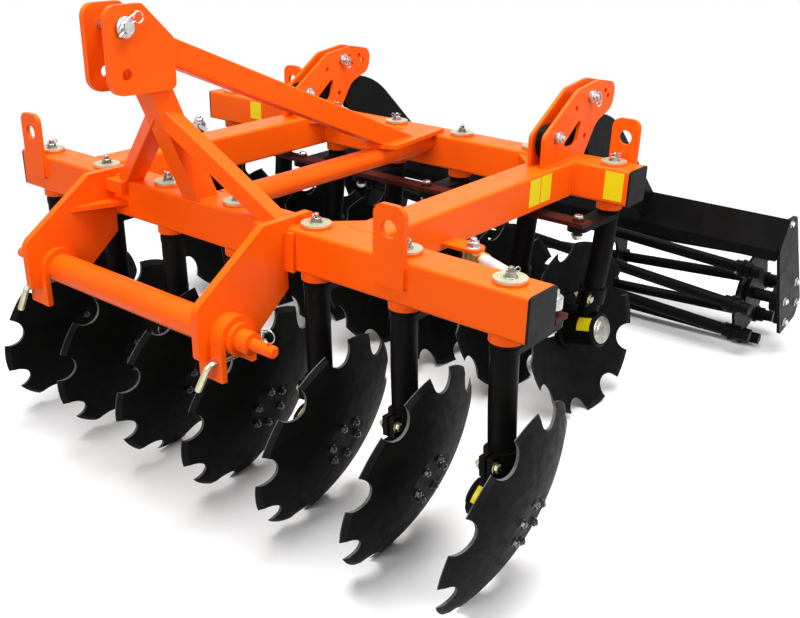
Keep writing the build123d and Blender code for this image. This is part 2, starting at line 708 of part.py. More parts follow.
# Quadrants and roller
def quadrant_plate(x):
    """Plate with a hole pattern that carries a roller arm's pivot and stop."""
    corners = [
        at_beam(point)
        for point in (
            (776, 0), (772, 86), (938, 190), (1056, 204), (1160, 184), (1148, 112),
            (1060, 84), (1004, 0),
        )
    ]
    plate = side_plate(corners, QUADRANT_PLATE, x, [2, 22, 60, 70, 34, 40, 70, 2])
    reach = (x - QUADRANT_PLATE, x + QUADRANT_PLATE)
    plate -= pin_x(reach, at_beam(PIVOT), PIVOT_R + BOLT_CLEARANCE)
    plate -= pin_x(reach, at_beam(STOP), STOP_R + BOLT_CLEARANCE)
    for hole in ((936, 139), (1046, 168), (1098, 167), (1116, 150), (1059, 143), (997, 54)):
        plate -= pin_x(reach, at_beam(hole), ADJUST_HOLE_R)
    window = [at_beam(point) for point in ((870, 42), (950, 34), (974, 118))]
    plate -= side_plate(window, 3 * QUADRANT_PLATE, x, [8, 24, 10])
    relief = (BEAM_BOTTOM, BEAM_TOP + BUSH_RISE + SEAT_GAP + WASHER_THICK + WASHER_RELIEF)
    for leg_x in ROWS["rear"]["legs"]:
        plate -= pin_z(relief, leg_x, ROW_DISTANCE, WASHER_R + WASHER_RELIEF)
    return plate


QUADRANT_HALF = QUADRANT_GAP / 2 + QUADRANT_PLATE / 2


def quadrant(x):
    """The two plates of a quadrant."""
    return [quadrant_plate(x - QUADRANT_HALF), quadrant_plate(x + QUADRANT_HALF)]


def quadrant_bolts():
    """Pivot and stop bolt of each quadrant."""
    bolts = []
    outer = QUADRANT_HALF + QUADRANT_PLATE / 2 + SEAT_GAP
    sleeve = QUADRANT_GAP / 2 - SEAT_GAP
    for x in (QUADRANT_LEFT, QUADRANT_RIGHT):
        for place, radius in ((PIVOT, PIVOT_R), (STOP, STOP_R)):
            bolt = pin_x((x - outer - BOLT_HEAD, x + outer + BOLT_HEAD), at_beam(place), radius)
            for side in (1, -1):
                near = x + side * outer
                head = sorted((near, near + side * BOLT_HEAD))
                bolt += pin_x(head, at_beam(place), BOLT_HEAD_R)
            if place is STOP:
                bolt += pin_x((x - sleeve, x + sleeve), at_beam(place), STOP_SLEEVE_R)
            bolts.append(bolt)
    return bolts


SPIDER_SHARE = (1 - SPIDER_X / ROLLER_TUBE_X) / 2
SPIDER_REACH = 1 - SPIDER_SHARE + SPIDER_SHARE * cos(radians(ROLLER_TWIST))
ROLLER_Z = ROLLER_PITCH_R * SPIDER_REACH + SPIDER_LOBE_R


def deflector():
    """Folded cross plate that joins the roller's arms and side plates."""
    top, foot = at_beam(DEFLECTOR_TOP), at_beam(DEFLECTOR_FOOT)
    slope = atan2(top[1] - foot[1], top[0] - foot[0])
    inset = (DEFLECTOR_THICK * sin(slope), -DEFLECTOR_THICK * cos(slope))
    knee = (foot[0] + DEFLECTOR_THICK, foot[1] + inset[1] / 2)
    corners = (
        foot, top, (top[0] + inset[0], top[1] + inset[1]), knee,
        (foot[0] + DEFLECTOR_THICK, foot[1] - DEFLECTOR_LIP), (foot[0], foot[1] - DEFLECTOR_LIP),
    )
    width = 2 * (SIDE_PLATE_X - SIDE_PLATE)
    return side_plate(corners, width, 0, [4, 1, 1, 2, 1, 1])


def roller_arm(x, stop_plate):
    """Gooseneck plate from the quadrant's pivot over the rear beam to the deflector."""
    corners = [
        at_beam(point)
        for point in (
            (786, 108), (1184, 98), DEFLECTOR_TOP, (1526, -310), (1200, -90), (1070, -30),
            (1034, 36), (890, 18), (786, 18),
        )
    ]
    arm = side_plate(corners, ARM_PLATE, x, [40, 320, 2, 2, 120, 30, 12, 40, 40])
    arm -= pin_x((x - ARM_PLATE, x + ARM_PLATE), at_beam(PIVOT), PIVOT_R + PIVOT_CLEARANCE)
    return arm - stop_plate


def roller_side_plate():
    """Plate at the roller's left end with its bearing."""
    corners = [
        (point[0], point[1] + BEAM_TOP)
        for point in (
            DEFLECTOR_FOOT, DEFLECTOR_TOP, (1626, -240), (1848, -588), (1826, -650), (1692, -676),
        )
    ]
    x = SIDE_PLATE_X - SIDE_PLATE / 2
    plate = side_plate(corners, SIDE_PLATE, x, [30, 8, 24, 24, 20, 12])
    inside = SIDE_PLATE_X - SIDE_PLATE
    flange = (inside - BEARING_FLANGE_THICK, inside)
    half = BEARING_FLANGE / 2
    plate += block(flange, (ROLLER_Y - half, ROLLER_Y + half), (ROLLER_Z - half, ROLLER_Z + half))
    place = (ROLLER_Y, ROLLER_Z)
    plate += pin_x((inside - BEARING_LENGTH, inside), place, BEARING_R)
    through = (inside - 2 * BEARING_LENGTH, SIDE_PLATE_X + 1)
    return plate - pin_x(through, place, STUB_R + STUB_CLEARANCE)


def tube_point(index, x):
    """Where a roller tube's axis crosses the plane of an X: each tube runs straight but askew."""
    ends = [radians(360 / ROLLER_TUBES * index + turn) for turn in (0, ROLLER_TWIST)]
    share = (x + ROLLER_TUBE_X) / (2 * ROLLER_TUBE_X)
    y = (1 - share) * sin(ends[0]) + share * sin(ends[1])
    z = (1 - share) * cos(ends[0]) + share * cos(ends[1])
    return x, ROLLER_Y + ROLLER_PITCH_R * y, ROLLER_Z - ROLLER_PITCH_R * z


def tube_between(index, x, radius):
    """A round bar on a roller tube's axis between two X limits."""
    start = Vector(*tube_point(index, x[0]))
    direction = Vector(*tube_point(index, x[1])) - start
    return extrude(Plane(origin=start, z_dir=direction) * Circle(radius), direction.length)


def spider(x):
    """Lobed plate that holds the roller's tubes."""
    plate = Circle(SPIDER_R)
    for i in range(ROLLER_TUBES):
        place = tube_point(i, x)
        plate += Pos(place[1] - ROLLER_Y, place[2] - ROLLER_Z) * Circle(SPIDER_LOBE_R)
    plate -= Circle(SPIDER_BORE_R)
    plane = Plane(origin=(x, ROLLER_Y, ROLLER_Z), x_dir=(0, 1, 0), z_dir=(1, 0, 0))
    return extrude(plane * plate, SPIDER_THICK / 2, both=True)


def roller():
    """Tube roller: askew tubes in lobed spiders, sockets at its ends and stub axles."""
    place = (ROLLER_Y, ROLLER_Z)
    half = SOCKET_LENGTH / 2
    body = spider(-SPIDER_X)
    for i in range(1, SPIDERS):
        body += spider(SPIDER_X * (2 * i / (SPIDERS - 1) - 1))
    for i in range(ROLLER_TUBES):
        body += tube_between(i, (-ROLLER_TUBE_X, ROLLER_TUBE_X), ROLLER_TUBE_R)
        for near in (SPIDER_X, -SPIDER_X):
            body += tube_between(i, (near - half, near + half), SOCKET_R)
    for side in (1, -1):
        near = side * (SPIDER_X - SPIDER_THICK / 2)
        body += pin_x(sorted((near, near + side * 2 * SPIDER_THICK)), place, STUB_FLANGE_R)
        body += pin_x(sorted((near, side * SIDE_PLATE_X)), place, STUB_R)
    return body


def assemble():
    """Every node of the harrow by name."""
    front, rear = ROWS["front"], ROWS["rear"]
    post = mast_post()
    plate_left = hitch_plate()
    cross_plate = deflector()
    arms = [roller_arm(x, cross_plate) for x in (QUADRANT_LEFT, QUADRANT_RIGHT)]
    end_plate = roller_side_plate()
    nodes = {
        "front_beam": cross_beam(front),
        "rear_beam": cross_beam(rear),
        "side_beam_left": side_beam(),
        "side_beam_right": mirrored(side_beam()),
        "beam_end_caps": beam_end_caps(),
        "corner_gussets": corner_gussets(),
        "centre_tube": centre_tube(),
        "centre_plate": centre_plate(),
        "lifting_lugs": lifting_lugs(),
        "hitch_plate_left": plate_left,
        "hitch_plate_right": mirrored(plate_left),
        "cross_shaft": cross_shaft(),
        "shaft_lock_pins": [shaft_lock_pin(LOCK_PIN_X), shaft_lock_pin(-LOCK_PIN_X)],
        "mast_post": post,
        "mast_struts": mast_struts(post),
        "clevis_plates": [clevis_plate(CLEVIS_X), clevis_plate(-CLEVIS_X)],
        "top_link_pin": top_link_pin(),
        "top_stay": top_stay(post),
        "quadrant_left": quadrant(QUADRANT_LEFT),
        "quadrant_right": quadrant(QUADRANT_RIGHT),
        "quadrant_bolts": quadrant_bolts(),
        "turnbuckle_brackets": [turnbuckle_bracket(row) for row in ROWS.values()],
        "roller_arms": arms,
        "roller_deflector": cross_plate,
        "roller_side_plates": [end_plate, mirrored(end_plate)],
        "roller": roller(),
    }
    for name, row in ROWS.items():
        nodes[f"{name}_tie_bar"] = tie_bar(row)
        nodes[f"{name}_turnbuckle"] = turnbuckle_body(row)
        nodes[f"{name}_turnbuckle_rod"] = turnbuckle_rod(row)
        row_leg = leg(row["side"])
        hub = disc_plane(row["side"]).location
        for i, x in enumerate(row["legs"]):
            place = Pos(x, row["y"], 0)
            nodes[f"{name}_leg_{i + 1}"] = place * row_leg
            nodes[f"{name}_disc_{i + 1}"] = place * hub * disc(NOTCH_PHASES[i])
    return nodes


def centred(nodes):
    """The nodes moved so that the origin lies under the middle of the whole machine."""
    parts = {name: Compound(part) if isinstance(part, list) else part for name, part in nodes.items()}
    middle = Compound(list(parts.values())).bounding_box().center()
    print("shift", round(-middle.X, 4), round(-middle.Y, 4))
    return {name: Pos(-middle.X, -middle.Y, 0) * part for name, part in parts.items()}


os.makedirs("parts", exist_ok=True)
for node, shape in centred(assemble()).items():
    export_step(shape, f"parts/{node}.step")
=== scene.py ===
"""Looks of the mounted disc harrow: paint, bare metal, small hardware, welds, blank stickers and light."""
import json
import math

import bmesh
import bpy
from mathutils import Matrix, Vector


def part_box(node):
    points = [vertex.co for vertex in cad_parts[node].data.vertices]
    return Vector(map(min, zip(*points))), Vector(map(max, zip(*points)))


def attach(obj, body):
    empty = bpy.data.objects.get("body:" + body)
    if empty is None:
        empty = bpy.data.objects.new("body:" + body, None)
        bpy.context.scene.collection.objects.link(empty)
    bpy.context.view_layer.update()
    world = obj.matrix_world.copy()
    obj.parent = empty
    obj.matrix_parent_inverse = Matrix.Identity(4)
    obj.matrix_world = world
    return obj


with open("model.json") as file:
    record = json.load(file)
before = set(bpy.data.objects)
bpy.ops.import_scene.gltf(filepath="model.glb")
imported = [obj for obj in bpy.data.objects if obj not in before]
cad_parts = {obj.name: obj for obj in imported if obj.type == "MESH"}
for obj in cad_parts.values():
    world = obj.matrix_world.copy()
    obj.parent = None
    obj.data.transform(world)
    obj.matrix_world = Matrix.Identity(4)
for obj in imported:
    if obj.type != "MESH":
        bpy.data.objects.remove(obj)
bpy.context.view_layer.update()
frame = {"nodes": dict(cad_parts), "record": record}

# Sizes repeated from the CAD source, in millimetres from the hitch's centre plane and the front beam
BEAM = 100.0
BEAM_TOP = 760.0
BEAM_BOTTOM = BEAM_TOP - BEAM
BEAM_CORNER = 8.0
BEAM_OVERHANG = 72.0
SIDE_BEAM_X = 471.0
ROW_DISTANCE = 957.0
LEG_PITCH = 257.0
LEG_STEPS = range(-3, 4)
FRONT_MIDDLE_LEG = 114.0
REAR_MIDDLE_LEG = -156.0
FRONT_LEGS = [FRONT_MIDDLE_LEG + LEG_PITCH * step for step in LEG_STEPS]
REAR_LEGS = [REAR_MIDDLE_LEG + LEG_PITCH * step for step in LEG_STEPS]
WASHER_BASE = BEAM_TOP + 5.2
WASHER_TOP = BEAM_TOP + 10.3
DISC_TILT = math.radians(13.5)
DISC_ATTACK = math.radians(6.0)
DISC_R = 260.0
DISC_BEVEL = 12.0
DISC_EDGE = 2.0
DISC_OFFSET = (33.0, -12.0)
DISC_FACE = 59.4
DISC_BOLT_CIRCLE = 53.0
HUB_R = 51.0
HUB_BACK = 68.0
LEG_TOP = 622.2
LEG_BOW = 7.0
CLAMP_PLACE = 0.62
CLAMP_REACH = 50.5
CLAMP_HALF = 17.0
CLAMP_DROP = 23.0
ARM_LENGTH = 175.0
TIE_HEAD_TOP = 646.0
TIE_PIN_FOOT = 597.7
HITCH_X = 318.0
HITCH_HALF = 10.0
LOCK_PIN_R = 8.0
LOCK_PIN = (346.0, -183.2, BEAM_TOP - 241.8)
MAST_HALF = 30.0
TOP_PIN = (-238.0, BEAM_TOP + 425.0)
TOP_PIN_END = 67.0
LUG_HALF = 41.0
LUG_BOTTOM = BEAM_TOP - 60.0
LUGS = (
    (FRONT_LEGS[0], -BEAM / 2),
    (FRONT_LEGS[-2], -BEAM / 2),
    (REAR_LEGS[1], ROW_DISTANCE + BEAM / 2),
    (REAR_LEGS[-1], ROW_DISTANCE + BEAM / 2),
)
TURNBUCKLE_Z = BEAM_TOP - 97.0
TURNBUCKLE_EYE = 12.0
TURNBUCKLE_R = 18.0
BRACKET = (SIDE_BEAM_X + 123.0, 306.0)
BRACKET_TOP = TURNBUCKLE_Z + 20.3
BRACKET_PIN_FOOT = TURNBUCKLE_Z - 24.0
QUADRANTS = {"left": 471.0, "right": -463.0}
QUADRANT_HALF = 25.0
BOLT_HEAD = 10.3
PIVOT = (838.0, BEAM_TOP + 76.0)
STOP = (1010.0, BEAM_TOP + 165.0)
ROLLER = (1735.0, 191.35)
ROLLER_TUBES = 8
ROLLER_TUBE_X = 865.0
ROLLER_PITCH_R = 162.0
ROLLER_TWIST = 45.0
SPIDER_X = 805.0
SOCKET_R = 25.0
SIDE_PLATE_X = 940.0
BEARING_BOLT_CIRCLE = 70.0

# Legs of a row, the row's place along Y and the side that its discs bulge to
ROWS = {"front": (FRONT_LEGS, 0.0, 1), "rear": (REAR_LEGS, ROW_DISTANCE, -1)}
SIDES = {"left": 1, "right": -1}
UP = Vector((0, 0, 1))
DOWN = Vector((0, 0, -1))
AHEAD = Vector((0, -1, 0))
BEHIND = Vector((0, 1, 0))

# Nuts and bolts: radius and height of the hexagon, stud past it and washer in hexagon radii
TOP_NUT = (12.0, 10.0, 10.0, 1.25)
CLAMP_HEAD = (10.0, 8.0, 0.0, 1.35)
CLAMP_NUT = (10.0, 8.0, 5.0, 1.35)
DISC_NUT = (9.0, 7.5, 3.0, 1.15)
TIE_FOOT_NUT = (14.0, 9.0, 4.0, 1.2)
EYE_NUT = (17.0, 13.0, 9.0, 1.3)
BRACKET_NUT = (16.0, 12.0, 9.0, 1.25)
BRACKET_FOOT_NUT = (15.0, 9.0, 4.0, 1.25)
QUADRANT_NUT = (13.0, 8.0, 7.0, 1.15)
BEARING_BOLT = (11.0, 9.0, 3.0, 1.3)
CORNER_BOLT = (9.0, 7.0, 0.0, 1.3)
SOCKET_BOLT = (6.5, 5.0, 0.0, 1.3)

# Parts of a nut or bolt, and where some of them stand
TIE_HEAD = (13.0, 7.0)
HEXAGON_CHAMFER = 0.14
WASHER_THICK = 2.0
WASHER_CHAMFER = (0.6, 0.4)
STUD_SHARE = 0.52
STUD_CHAMFER = 1.5
DISC_NUTS = 6
DISC_NUT_TURN = 30.0
DISC_NUT_TURN_STEP = 17.0
EYE_NUT_GAP = 0.5
BEARING_BOLTS = 4
BEARING_BOLT_TURN = 71.6
CORNER_BOLT_PLACE = (1578.0, BEAM_TOP - 256.0)
SOCKET_BOLT_INSET = 17.0
SOCKET_BOLT_SINK = 0.6
SOCKET_BOLT_LEAN = 0.2

# Turn of the split pins in radians, from leg to leg
SPLIT_PIN_TURN = 0.5
SPLIT_PIN_TURN_STEP = 0.9

# Pins, clips, caps and rings; profiles are (radius, height), and a spring clip is in shares of its length
WIRE_SIDES = 8
SPLIT_PIN_RISE = 17.0
SPLIT_PIN_ENDS = (-12.0, 9.0)
SPLIT_PIN_R = 1.6
SPLIT_EYE = 13.0
SPLIT_EYE_R = 4.5
SPLIT_EYE_ARC = (-150.0, 150.0)
SPLIT_EYE_WIRE_R = 1.4
CAP_FLANGE = ((41.0, -0.5), (41.0, 0.8), (39.5, 1.4))
CAP_DOME = ((37.0, 3.4), (34.0, 6.4), (31.0, 8.6), (26.0, 9.7), (14.0, 10.7), (2.0, 11.0))
SLEEVE_RING = ((0.0, 40.0), (3.0, 42.0), (3.0, 52.0), (1.0, 54.0), (0.0, 56.0))
CLIP_SHANK = (-0.62, 0.5)
CLIP_BEND = 0.74
CLIP_BEND_R = 0.26
CLIP_BEND_ARC = (-170.0, 150.0)
CLIP_BACK = (0.24, 0.34)
CLIP_BACK_END = -0.4
CLIP_WIRE_R = 1.9
TOP_CLIP = 46.0
TOP_CLIP_SHANK = Vector((0, 0.83, 0.56))
TOP_CLIP_ACROSS = Vector((0, -0.56, 0.83))
TOP_CLIP_INSET = 6.0
TOP_WASHER = ((23.0, 0.0), (23.0, 2.6), (21.5, 3.4))
TOP_WASHER_INSET = 16.0
STOP_CLIP = 28.0
STOP_CLIP_SHANK = Vector((0, 0.3, -0.95))
STOP_CLIP_ACROSS = Vector((0.5, 0.82, 0.26))
STOP_CLIP_REACH = 14.0
LOCK_PIN_TAIL = 36.0
LOCK_PIN_CHAMFER = 2.0
LOCK_PIN_COVER = 0.1
LOCK_PIN_OVERLAP = 0.5
LINCH_HEAD = ((2.0, -7.0), (6.0, -5.0), (7.5, 0.0), (6.0, 5.0), (4.5, 8.0))
LINCH_SHANK = ((4.5, 44.0), (2.5, 48.0))
LINCH_INSET = 11.0
LINCH_RISE = 24.0
LINCH_RING_R = 16.0
LINCH_RING_DROP = 7.0
LINCH_RING_WAY = (0.94, 0.34)
LINCH_RING_ARC = (0.0, 346.0)
LINCH_WIRE_R = 1.7

# Weld beads: radius, ripple and where they run
THIN_BEAD = 3.5
BEAD = 4.0
WIDE_BEAD = 4.5
CORNER_BEAD = 5.0
BEAD_SIDES = 7
BEAD_RIPPLE = 5.0
BEAD_VALLEY = 0.82
BEAD_END = 0.45
BEAD_Z = BEAM_TOP + 0.5
UPRIGHT_WELD_INSET = 10.0
LEVEL_WELD_INSET = 3.0
HITCH_WELD = (-41.0, 38.0)
HITCH_STITCH = 0.55
MAST_WELD = (-44.0, 14.0)
POST_WELD = (28.0, 15.0)
STAY_WELD = (662.0, 800.0)
STAY_WELD_Z = BEAM_TOP + 12.0
LUG_WELD_INSET = 2.0
QUADRANT_WELD = (780.0, 1000.0)
QUADRANT_SHORT_WELD = (780.0, 900.0)

# Blank stickers
FILM = (0.1, 0.5)
HUB_STICKER_HEADING = Vector((0, -0.82, 0.57))
HUB_STICKER_SPAN = 46.0
HUB_STICKER_STEPS = 8
HUB_STICKER_BACK = (14.0, 58.0)
REAR_STICKERS = {"rear_left": ((618.0, 674.0), 672.0), "rear_right": ((-786.0, -732.0), 692.0)}
SIDE_STICKERS = {"side_a": (674.0, 727.0), "side_b": (731.0, 784.0)}
SIDE_STICKER_FOOT = 678.0
STICKER_TOP = BEAM_TOP - BEAM_CORNER

# Looks: bands of noise, pairs of tones, borders in millimetres and rolling marks in radians per metre
SHARP_ANGLE = math.radians(35)
NOISE_BAND = (0.3, 0.7)
PAINT_BAND = (0.35, 0.7)
DISC_BAND = (0.3, 0.75)
LEG_BLACK = ((0.0030, 0.0028, 0.0026), (0.0060, 0.0057, 0.0055))
WASHER_CREAM = ((0.46, 0.45, 0.31), (0.36, 0.35, 0.23))
DISC_BLACK = ((0.0042, 0.0044, 0.0042), (0.0076, 0.0078, 0.0074))
RIM_GREY = ((0.0085, 0.0088, 0.0086), (0.0190, 0.0190, 0.0190))
BARE_STEEL = ((0.050, 0.050, 0.050), (0.150, 0.150, 0.148))
SLEEVE_WHITE = ((0.52, 0.51, 0.48), (0.44, 0.43, 0.40))
PLATED_YELLOW = ((0.52, 0.36, 0.12), (0.38, 0.25, 0.08))
WASHER_METAL = 0.6
EYE_METAL = 0.8
RIM_BLEND = (-1.5, 0.5)
NOTCH_WALL_R = 200.0
NOTCH_WALL_FACING = 0.3
ROLLING_MARKS = 2600.0
ROLLING_MARK_DEPTH = 0.12
PLATED_EYE_R = 47.0

# Stage: floor and lamps in metres, the camera's place in millimetres and its focal length in pixels
FLOOR_FADE = (1.3, 2.6)
FLOOR_BOUNCE = (0.3, 0.3, 0.3)
FLOOR_SEEN = (0.9, 0.9, 0.9)
WORLD_STRENGTH = 0.28
LAMP_TARGET = Vector((0, 0, 0.5))
LAMPS = {
    "key": ((0.4, -0.3, 4.6), (3.6, 3.6), 380),
    "front": ((0.8, -5.0, 2.4), (3.0, 2.0), 135),
    "side": ((5.0, 0.3, 2.4), (3.0, 2.0), 125),
}
PHOTO_WIDTH = 800
CAMERA_FOCAL = 986.1
CAMERA_SENSOR = 36.0
CAMERA_YAW = 0.7015
CAMERA_PITCH = 0.4328
CAMERA_ROLL = 0.0087
CAMERA_SHIFT = (0.0516, 0.0379)
CAMERA_PLACE = (1818.6, -1561.7, BEAM_TOP + 702.9)
CAMERA_CLIP = 200.0

front_low, front_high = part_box("front_beam")
SHIFT = Vector((
    front_low[0] - (FRONT_LEGS[0] - BEAM_OVERHANG) / 1000,
    (front_low[1] + front_high[1]) / 2,
    0.0,
))


def at(x, y, z):
    """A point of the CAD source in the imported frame, in metres."""
    return Vector((x, y, z)) / 1000 + SHIFT


def disc_axis(side):
    """Unit vector from a disc's hollow side to its bulging side."""
    across = math.cos(DISC_ATTACK) * math.cos(DISC_TILT)
    back = math.sin(DISC_ATTACK) * math.cos(DISC_TILT)
    return Vector((side * across, back, -math.sin(DISC_TILT)))


def disc_centre(x, y, side):
    """Middle of a disc's rim plane."""
    height = DISC_R * math.cos(DISC_TILT) + DISC_EDGE * math.sin(DISC_TILT)
    return at(x + side * DISC_OFFSET[0], y + DISC_OFFSET[1], height)


# Materials
class Shader:
    """A Principled material with short calls for its nodes."""

    def __init__(self, name, rough, metal=0.0, shine=0.3):
        self.material = bpy.data.materials.new(name)
        self.material.use_nodes = True
        self.nodes = self.material.node_tree.nodes
        self.links = self.material.node_tree.links
        self.bsdf = self.nodes["Principled BSDF"]
        self.bsdf.inputs["Roughness"].default_value = rough
        self.bsdf.inputs["Metallic"].default_value = metal
        self.bsdf.inputs["Specular IOR Level"].default_value = shine
        self.place = self.nodes.new("ShaderNodeTexCoord").outputs["Object"]

    def noise(self, scale, detail):
        """Fractal noise over the piece."""
        node = self.nodes.new("ShaderNodeTexNoise")
        node.inputs["Scale"].default_value = scale
        node.inputs["Detail"].default_value = detail
        self.links.new(self.place, node.inputs["Vector"])
        return node.outputs["Fac"]

    def math(self, operation, first, second=0.0):
        """One arithmetic step on sockets or numbers."""
        node = self.nodes.new("ShaderNodeMath")
        node.operation = operation
        for socket, value in zip(node.inputs, (first, second)):
            if isinstance(value, (int, float)):
                socket.default_value = value
            else:
                self.links.new(value, socket)
        return node.outputs[0]

    def vector(self, operation, first, second=(0, 0, 0)):
        """One vector step on a socket and, where it needs one, a fixed vector."""
        node = self.nodes.new("ShaderNodeVectorMath")
        node.operation = operation
        self.links.new(first, node.inputs[0])
        node.inputs[1].default_value = second
        return node

    def spread(self, value, low, high, to_low=0.0, to_high=1.0, smooth=False):
        """A value mapped from one range to another and clamped."""
        node = self.nodes.new("ShaderNodeMapRange")
        if smooth:
            node.interpolation_type = "SMOOTHSTEP"
        self.links.new(value, node.inputs["Value"])
        for name, number in (("From Min", low), ("From Max", high), ("To Min", to_low), ("To Max", to_high)):
            node.inputs[name].default_value = number
        return node.outputs["Result"]

    def mix(self, factor, first, second):
        """Two colours blended by a factor."""
        node = self.nodes.new("ShaderNodeMix")
        node.data_type = "RGBA"
        self.links.new(factor, node.inputs["Factor"])
        for socket, value in ((node.inputs["A"], first), (node.inputs["B"], second)):
            if isinstance(value, tuple):
                socket.default_value = (*value, 1.0)
            else:
                self.links.new(value, socket)
        return node.outputs["Result"]

    def set(self, name, value):
        """A socket of the shader fed by a node."""
        self.links.new(value, self.bsdf.inputs[name])

    def bump(self, height, strength, distance):
        """Fine relief from a height."""
        node = self.nodes.new("ShaderNodeBump")
        node.inputs["Strength"].default_value = strength
        node.inputs["Distance"].default_value = distance
        self.links.new(height, node.inputs["Height"])
        self.links.new(node.outputs["Normal"], self.bsdf.inputs["Normal"])


def paint(name, colour, shade, rough, shine, peel=0.12):
    """Sprayed paint: slow drift of tone, uneven gloss and orange peel."""
    shader = Shader(name, rough, shine=shine)
    tone = shader.spread(shader.noise(scale=5.0, detail=6.0), *PAINT_BAND)
    shader.set("Base Color", shader.mix(tone, colour, shade))
    gloss = shader.spread(shader.noise(scale=28.0, detail=3.0), *NOISE_BAND, rough - 0.05, rough + 0.09)
    shader.set("Roughness", gloss)
    shader.bump(shader.noise(scale=620.0, detail=2.0), strength=peel, distance=0.0006)
    return shader.material


def metal(name, colour, shade, rough):
    """Plated metal with cloudy tone and fine scratches."""
    shader = Shader(name, rough, metal=1.0)
    tone = shader.spread(shader.noise(scale=60.0, detail=5.0), *NOISE_BAND)
    shader.set("Base Color", shader.mix(tone, colour, shade))
    gloss = shader.spread(shader.noise(scale=160.0, detail=4.0), *NOISE_BAND, rough - 0.08, rough + 0.12)
    shader.set("Roughness", gloss)
    shader.bump(shader.noise(scale=900.0, detail=2.0), strength=0.08, distance=0.0004)
    return shader.material


def leg_paint():
    """Satin black legs with the pale plated washer over the beam."""
    shader = Shader("leg_black", rough=0.4, shine=0.04)
    split = shader.nodes.new("ShaderNodeSeparateXYZ")
    shader.links.new(shader.place, split.inputs["Vector"])
    washer = shader.math("GREATER_THAN", split.outputs["Z"], WASHER_BASE / 1000)
    tone = shader.spread(shader.noise(scale=8.0, detail=5.0), *PAINT_BAND)
    black = shader.mix(tone, *LEG_BLACK)
    cream = shader.mix(tone, *WASHER_CREAM)
    shader.set("Base Color", shader.mix(washer, black, cream))
    shader.set("Metallic", shader.math("MULTIPLY", washer, WASHER_METAL))
    gloss = shader.spread(shader.noise(scale=30.0, detail=4.0), *NOISE_BAND, to_low=0.34, to_high=0.48)
    shader.set("Roughness", gloss)
    shader.bump(shader.noise(scale=520.0, detail=2.0), strength=0.12, distance=0.0006)
    return shader.material


def disc_steel(name, centre, axis):
    """Black disc: bare steel on the notches' cut walls, a paler ground rim and faint rolling marks."""
    shader = Shader(name, rough=0.5, shine=0.018)
    offset = shader.vector("SUBTRACT", shader.place, centre).outputs["Vector"]
    along = shader.vector("DOT_PRODUCT", offset, axis).outputs["Value"]
    reach = shader.vector("LENGTH", offset).outputs["Value"]
    square = shader.math("MULTIPLY", reach, reach)
    radius = shader.math("SQRT", shader.math("SUBTRACT", square, shader.math("MULTIPLY", along, along)))
    rim = DISC_R - DISC_BEVEL
    band = shader.spread(radius, *((rim + blend) / 1000 for blend in RIM_BLEND))
    normal = shader.nodes.new("ShaderNodeTexCoord").outputs["Normal"]
    facing = shader.math("ABSOLUTE", shader.vector("DOT_PRODUCT", normal, axis).outputs["Value"])
    side_on = shader.math("LESS_THAN", facing, NOTCH_WALL_FACING)
    wall = shader.math("MULTIPLY", side_on, shader.math("GREATER_THAN", radius, NOTCH_WALL_R / 1000))
    mottle = shader.spread(shader.noise(scale=26.0, detail=7.0), *DISC_BAND)
    face = shader.mix(mottle, *DISC_BLACK)
    ground = shader.mix(mottle, *RIM_GREY)
    bare = shader.mix(mottle, *BARE_STEEL)
    shader.set("Base Color", shader.mix(wall, shader.mix(band, face, ground), bare))
    gloss = shader.spread(shader.noise(scale=45.0, detail=5.0), *NOISE_BAND, to_low=0.42, to_high=0.6)
    shader.set("Roughness", gloss)
    wave = shader.math("SINE", shader.math("MULTIPLY", radius, ROLLING_MARKS))
    marks = shader.math("MULTIPLY", wave, ROLLING_MARK_DEPTH)
    grain = shader.math("ADD", shader.noise(scale=340.0, detail=3.0), marks)
    shader.bump(grain, strength=0.1, distance=0.0008)
    return shader.material


def turnbuckle_paint(name, pin):
    """White sleeve with a yellow-plated eye round its pin."""
    shader = Shader(name, rough=0.4)
    offset = shader.vector("SUBTRACT", shader.place, pin).outputs["Vector"]
    reach = shader.vector("LENGTH", offset).outputs["Value"]
    eye = shader.math("LESS_THAN", reach, PLATED_EYE_R / 1000)
    tone = shader.spread(shader.noise(scale=30.0, detail=5.0), *PAINT_BAND)
    white = shader.mix(tone, *SLEEVE_WHITE)
    plate = shader.mix(tone, *PLATED_YELLOW)
    shader.set("Base Color", shader.mix(eye, white, plate))
    shader.set("Metallic", shader.math("MULTIPLY", eye, EYE_METAL))
    shader.bump(shader.noise(scale=500.0, detail=2.0), strength=0.1, distance=0.0006)
    return shader.material


ORANGE = paint("orange_paint", (0.90, 0.108, 0.003), (0.86, 0.092, 0.002), rough=0.34, shine=0.12)
BLACK = paint("black_paint", (0.0030, 0.0028, 0.0027), (0.0062, 0.0060, 0.0058), rough=0.38, shine=0.04)
RED_BROWN = paint("red_brown_primer", (0.050, 0.008, 0.005), (0.030, 0.005, 0.004), rough=0.45, shine=0.08)
PLUG = paint(
    "black_plug", (0.0050, 0.0050, 0.0052), (0.0090, 0.0090, 0.0092), rough=0.5, shine=0.1, peel=0.25,
)
YELLOW = paint("yellow_film", (0.78, 0.62, 0.008), (0.72, 0.57, 0.006), rough=0.3, shine=0.2, peel=0.03)
ZINC = metal("bright_zinc", (0.60, 0.60, 0.59), (0.42, 0.43, 0.44), rough=0.3)
# Zinc nuts and bolts whose base colour is darkened as painted shade, standing in for the dark surroundings
# they sit in and reflect
ZINC_DARKENED_AS_PAINTED_SHADE = metal("zinc_darkened_as_painted_shade", (0.13, 0.13, 0.13), (0.05, 0.05, 0.052), rough=0.28)
STEEL = metal("dull_steel", (0.36, 0.35, 0.32), (0.17, 0.165, 0.15), rough=0.3)
CREAM_ZINC = metal("pale_yellow_zinc", (0.56, 0.53, 0.38), (0.40, 0.37, 0.24), rough=0.34)
